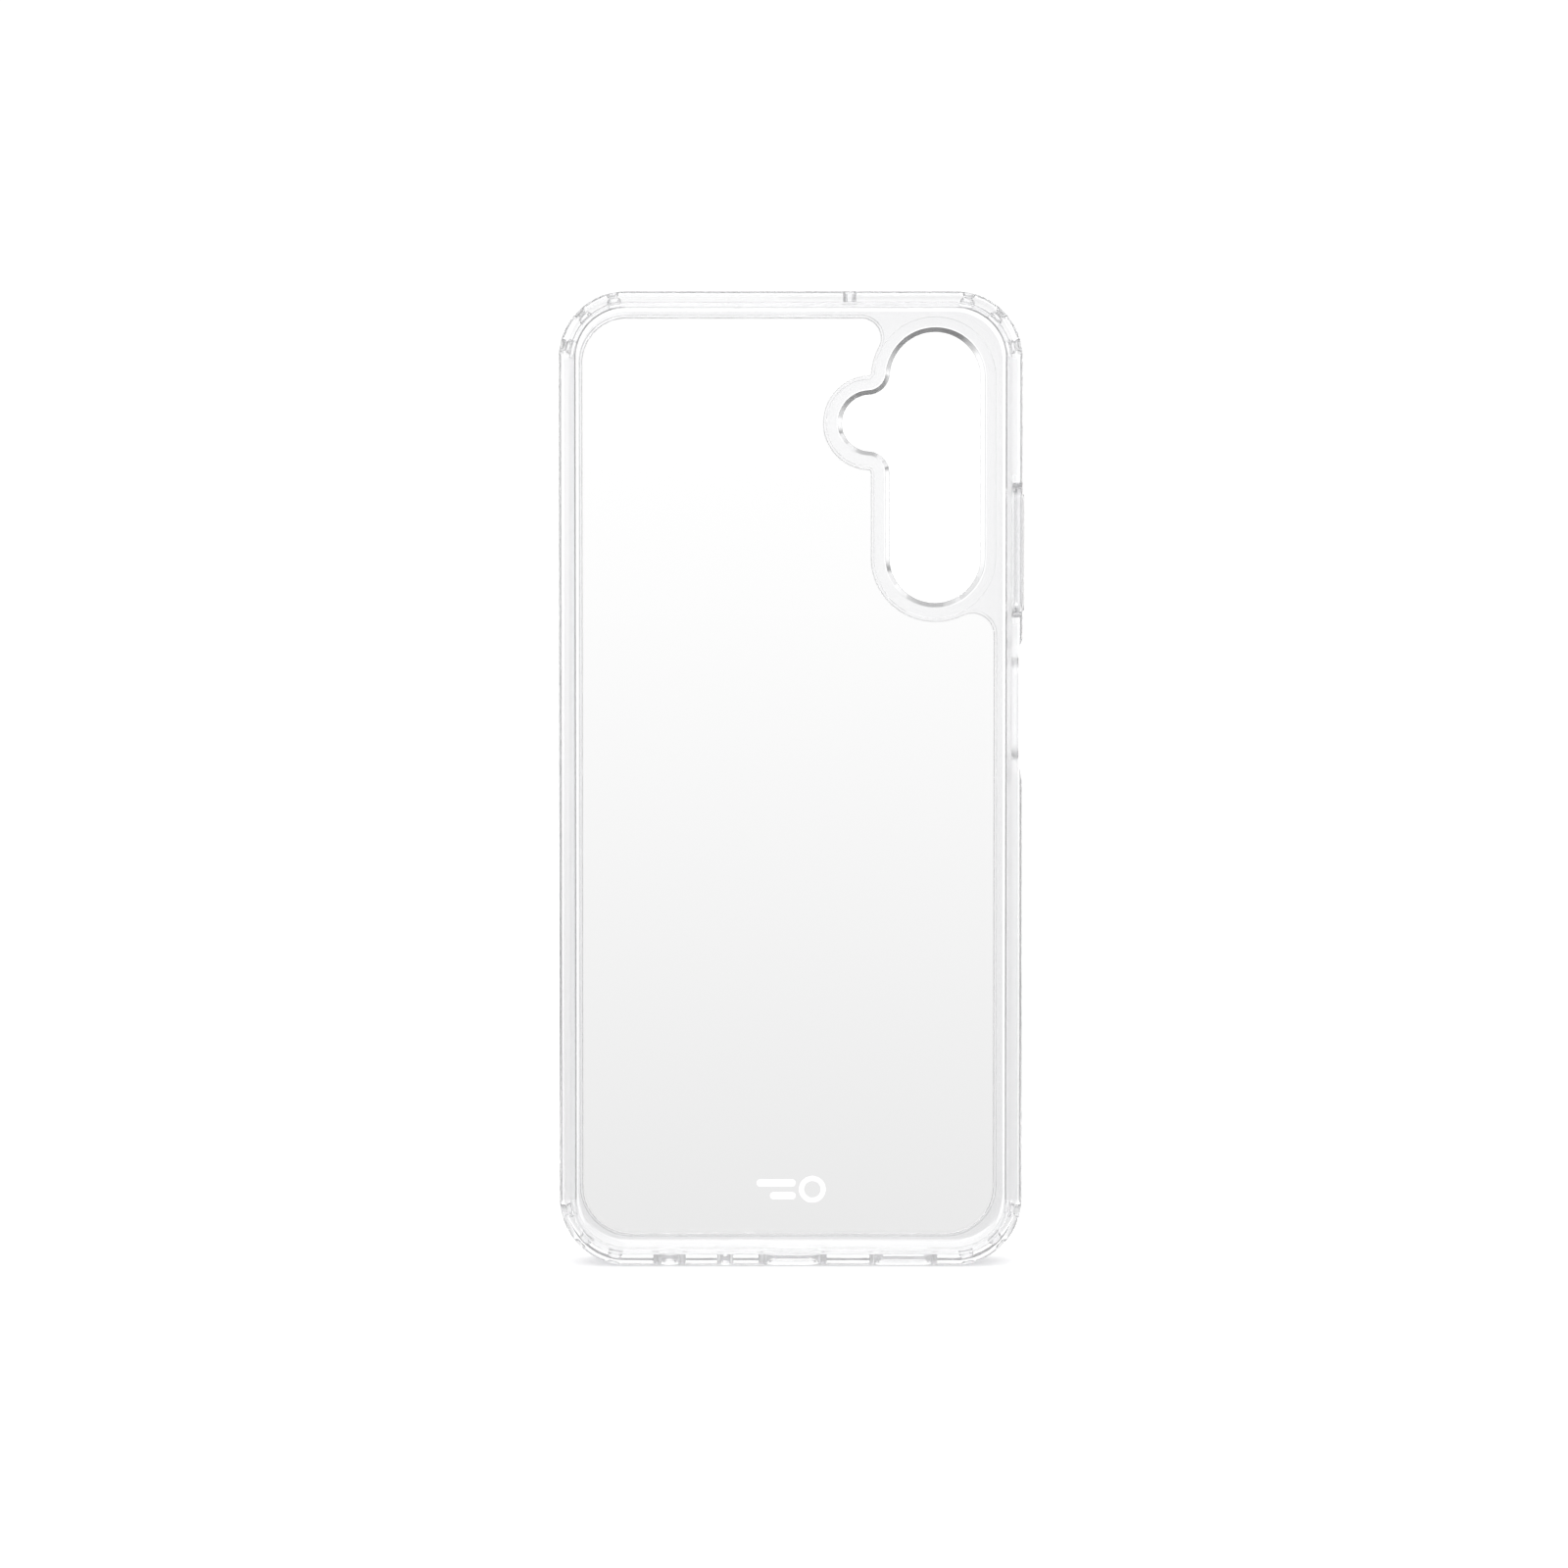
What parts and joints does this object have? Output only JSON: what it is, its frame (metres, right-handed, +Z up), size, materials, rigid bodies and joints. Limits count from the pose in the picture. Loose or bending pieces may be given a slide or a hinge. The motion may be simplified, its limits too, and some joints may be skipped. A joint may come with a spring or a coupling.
{
  "type": "phone case",
  "caption": "Clear phone case with a hard back panel in a soft bumper frame, a camera opening, a rocking volume key and a scooped side-key cut-out.",
  "frame": {"origin": "the middle of the case's width and depth, on the surface that it stands on; the volume key and the camera ridge, which stand proud, are not counted", "axes": "+Z up along the case's height, +X to the volume key's side, -Y out of the open side where the phone's screen shows"},
  "size_m": [0.0823, 0.0121, 0.1719],
  "materials": {
    "hard_clear": "polished clear hard plastic",
    "soft_clear": "glossy clear soft plastic, very slightly hazy"
  },
  "bodies": {
    "case": {"bumper_frame": "soft_clear", "back_panel": "hard_clear"},
    "key_web": {"volume_key_web": "soft_clear"},
    "key": {"volume_key": "soft_clear"}
  },
  "joints": [
    {"name": "volume_key_press", "type": "slide", "parent": "case", "child": "key_web", "axis": [-1, 0, 0], "range_m": [0, 0.0004], "stiffness_N_per_m": 2000},
    {"name": "volume_key_rock", "type": "hinge", "parent": "key_web", "child": "key", "pos_m": [0.04022, 0, 0.126], "axis": [0, 1, 0], "range_deg": [-1, 1], "stiffness_Nm_per_rad": 1}
  ]
}
